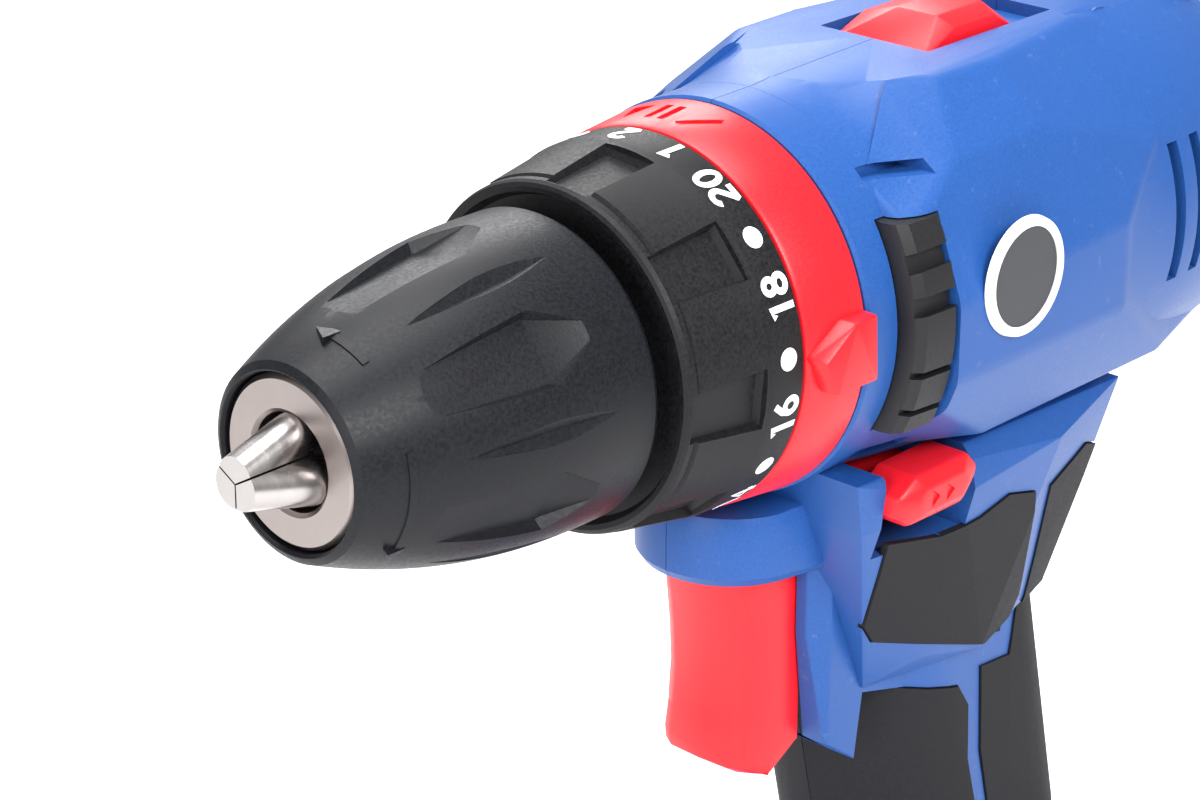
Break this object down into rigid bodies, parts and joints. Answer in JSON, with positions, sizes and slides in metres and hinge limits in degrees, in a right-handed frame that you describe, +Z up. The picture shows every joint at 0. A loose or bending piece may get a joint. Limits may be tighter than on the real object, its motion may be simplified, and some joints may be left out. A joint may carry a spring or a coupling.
{
  "type": "cordless drill driver",
  "caption": "Pistol-grip cordless drill driver with a keyless three-jaw chuck, torque collar, mode ring, two-speed planetary gearbox, trigger and slide-on battery pack.",
  "frame": {"origin": "middle of the flat bottom of the battery pack, on the mid plane between the housing halves", "axes": "+X forwards along the spindle axis towards the chuck nose, +Y to the left side of the drill, +Z up"},
  "size_m": [0.1854, 0.0644, 0.181],
  "materials": {
    "blue_nylon": "fine grained, semi-matt",
    "grip_rubber": "matt moulded rubber",
    "badge_ring": "white printed ring",
    "dark_steel": "blackened",
    "red_nylon": "fine grained, semi-matt",
    "black_nylon": "spark-eroded grain",
    "spring_steel": "bright",
    "brass": "plain",
    "aluminium": "plain",
    "bright_steel": "satin nickel plated",
    "gear_steel": "sintered",
    "cell_wrap": "shrink wrap"
  },
  "bodies": {
    "housing": {"left_housing": "blue_nylon", "right_housing": "blue_nylon", "left_grip": "grip_rubber", "right_grip": "grip_rubber", "left_bumper": "grip_rubber", "right_bumper": "grip_rubber", "left_badge": "badge_ring", "right_badge": "badge_ring", "housing_screws": "dark_steel", "switch_body": "black_nylon", "switch_contacts": "brass", "heat_sink": "aluminium", "trigger_spring": "spring_steel", "gear_case": "black_nylon", "motor_plate": "spring_steel", "ring_gear_1": "gear_steel", "ring_gear_3": "gear_steel", "clutch_spring": "spring_steel", "clutch_washer": "spring_steel", "clutch_pins": "spring_steel", "collar_retainer": "dark_steel", "spindle_bearings": "spring_steel", "motor_can": "gear_steel", "motor_magnets": "gear_steel", "motor_end_bell": "black_nylon"},
    "rotor": {"armature": "gear_steel", "motor_pinion": "gear_steel"},
    "stage_1": {"carrier_1": "gear_steel"},
    "stage_2": {"carrier_2": "gear_steel"},
    "spindle": {"spindle": "gear_steel", "chuck_body": "bright_steel", "chuck_rear_plate": "dark_steel", "chuck_screw": "dark_steel"},
    "sleeve": {"chuck_sleeve": "black_nylon", "chuck_nut": "gear_steel", "chuck_bearing": "spring_steel"},
    "collar": {"torque_collar": "black_nylon"},
    "clutch_nut": {"clutch_nut": "gear_steel"},
    "mode_ring": {"mode_ring": "red_nylon"},
    "speed_shift": {"gear_selector": "red_nylon", "shift_wire": "spring_steel", "ring_gear_2": "gear_steel"},
    "trigger": {"trigger": "red_nylon"},
    "lever": {"direction_lever": "red_nylon"},
    "battery": {"battery_lower_case": "black_nylon", "battery_upper_case": "black_nylon", "battery_cells": "cell_wrap"},
    "latch": {"battery_latch": "red_nylon"},
    "jaw_1": {"jaw_1": "bright_steel"},
    "jaw_2": {"jaw_2": "bright_steel"},
    "jaw_3": {"jaw_3": "bright_steel"},
    "planet_1a": {"planet_1a": "gear_steel"},
    "planet_1b": {"planet_1b": "gear_steel"},
    "planet_1c": {"planet_1c": "gear_steel"},
    "planet_2a": {"planet_2a": "gear_steel"},
    "planet_2b": {"planet_2b": "gear_steel"},
    "planet_2c": {"planet_2c": "gear_steel"},
    "planet_3a": {"planet_3a": "gear_steel"},
    "planet_3b": {"planet_3b": "gear_steel"},
    "planet_3c": {"planet_3c": "gear_steel"}
  },
  "joints": [
    {"name": "motor_spin", "type": "hinge", "parent": "housing", "child": "rotor", "pos_m": [0.046, 0, 0.15], "axis": [1, 0, 0], "continuous": true},
    {"name": "stage_1_spin", "type": "hinge", "parent": "housing", "child": "stage_1", "pos_m": [0.046, 0, 0.15], "axis": [1, 0, 0], "continuous": true},
    {"name": "planet_1a_spin", "type": "hinge", "parent": "stage_1", "child": "planet_1a", "pos_m": [0.0095, 0, 0.1398], "axis": [1, 0, 0], "continuous": true},
    {"name": "planet_1b_spin", "type": "hinge", "parent": "stage_1", "child": "planet_1b", "pos_m": [0.0095, 0.00883, 0.1551], "axis": [1, 0, 0], "continuous": true},
    {"name": "planet_1c_spin", "type": "hinge", "parent": "stage_1", "child": "planet_1c", "pos_m": [0.0095, -0.00883, 0.1551], "axis": [1, 0, 0], "continuous": true},
    {"name": "stage_2_spin", "type": "hinge", "parent": "housing", "child": "stage_2", "pos_m": [0.046, 0, 0.15], "axis": [1, 0, 0], "continuous": true},
    {"name": "planet_2a_spin", "type": "hinge", "parent": "stage_2", "child": "planet_2a", "pos_m": [0.0215, 0, 0.1398], "axis": [1, 0, 0], "continuous": true},
    {"name": "planet_2b_spin", "type": "hinge", "parent": "stage_2", "child": "planet_2b", "pos_m": [0.0215, 0.00883, 0.1551], "axis": [1, 0, 0], "continuous": true},
    {"name": "planet_2c_spin", "type": "hinge", "parent": "stage_2", "child": "planet_2c", "pos_m": [0.0215, -0.00883, 0.1551], "axis": [1, 0, 0], "continuous": true},
    {"name": "spindle_spin", "type": "hinge", "parent": "housing", "child": "spindle", "pos_m": [0.046, 0, 0.15], "axis": [1, 0, 0], "continuous": true},
    {"name": "planet_3a_spin", "type": "hinge", "parent": "spindle", "child": "planet_3a", "pos_m": [0.033, 0, 0.1398], "axis": [1, 0, 0], "continuous": true},
    {"name": "planet_3b_spin", "type": "hinge", "parent": "spindle", "child": "planet_3b", "pos_m": [0.033, 0.00883, 0.1551], "axis": [1, 0, 0], "continuous": true},
    {"name": "planet_3c_spin", "type": "hinge", "parent": "spindle", "child": "planet_3c", "pos_m": [0.033, -0.00883, 0.1551], "axis": [1, 0, 0], "continuous": true},
    {"name": "sleeve_turn", "type": "hinge", "parent": "spindle", "child": "sleeve", "pos_m": [0.046, 0, 0.15], "axis": [1, 0, 0], "range_deg": [0, 3600]},
    {"name": "jaw_1_slide", "type": "slide", "parent": "spindle", "child": "jaw_1", "axis": [-0.9537, 0.2604, -0.1504], "range_m": [0, 0.0166]},
    {"name": "jaw_2_slide", "type": "slide", "parent": "spindle", "child": "jaw_2", "axis": [-0.9537, 0, 0.3007], "range_m": [0, 0.0166]},
    {"name": "jaw_3_slide", "type": "slide", "parent": "spindle", "child": "jaw_3", "axis": [-0.9537, -0.2604, -0.1504], "range_m": [0, 0.0166]},
    {"name": "collar_turn", "type": "hinge", "parent": "housing", "child": "collar", "pos_m": [0.046, 0, 0.15], "axis": [1, 0, 0], "range_deg": [-54, 288]},
    {"name": "clutch_nut_slide", "type": "slide", "parent": "housing", "child": "clutch_nut", "axis": [1, 0, 0], "range_m": [-0.0013, 0.0065], "deforming": ["clutch_spring"]},
    {"name": "mode_turn", "type": "hinge", "parent": "housing", "child": "mode_ring", "pos_m": [0.046, 0, 0.15], "axis": [1, 0, 0], "range_deg": [-24, 24]},
    {"name": "speed_slide", "type": "slide", "parent": "housing", "child": "speed_shift", "axis": [-1, 0, 0], "range_m": [0, 0.0054]},
    {"name": "trigger_slide", "type": "slide", "parent": "housing", "child": "trigger", "axis": [-1, 0, 0], "range_m": [0, 0.0065], "stiffness_N_per_m": 900, "springref_m": -0.002, "deforming": ["trigger_spring"]},
    {"name": "lever_slide", "type": "slide", "parent": "housing", "child": "lever", "axis": [0, 1, 0], "range_m": [-0.003, 0.003]},
    {"name": "battery_slide", "type": "slide", "parent": "housing", "child": "battery", "axis": [1, 0, 0], "range_m": [0, 0.075]},
    {"name": "latch_slide", "type": "slide", "parent": "battery", "child": "latch", "axis": [0, 0, -1], "range_m": [0, 0.003], "stiffness_N_per_m": 600, "springref_m": -0.0015}
  ],
  "couplings": [
    {"joint": "stage_1_spin", "follows": "motor_spin", "ratio": 0.25},
    {"joint": "planet_1a_spin", "follows": "motor_spin", "ratio": -0.75},
    {"joint": "planet_1b_spin", "follows": "motor_spin", "ratio": -0.75},
    {"joint": "planet_1c_spin", "follows": "motor_spin", "ratio": -0.75},
    {"joint": "stage_2_spin", "follows": "motor_spin", "ratio": 0.0625},
    {"joint": "planet_2a_spin", "follows": "motor_spin", "ratio": -0.1875},
    {"joint": "planet_2b_spin", "follows": "motor_spin", "ratio": -0.1875},
    {"joint": "planet_2c_spin", "follows": "motor_spin", "ratio": -0.1875},
    {"joint": "spindle_spin", "follows": "motor_spin", "ratio": 0.015625},
    {"joint": "planet_3a_spin", "follows": "motor_spin", "ratio": -0.046875},
    {"joint": "planet_3b_spin", "follows": "motor_spin", "ratio": -0.046875},
    {"joint": "planet_3c_spin", "follows": "motor_spin", "ratio": -0.046875},
    {"joint": "jaw_1_slide", "follows": "sleeve_turn", "m_per_rad": 0.0002642},
    {"joint": "jaw_2_slide", "follows": "sleeve_turn", "m_per_rad": 0.0002642},
    {"joint": "jaw_3_slide", "follows": "sleeve_turn", "m_per_rad": 0.0002642},
    {"joint": "clutch_nut_slide", "follows": "collar_turn", "m_per_rad": 0.0012732}
  ]
}
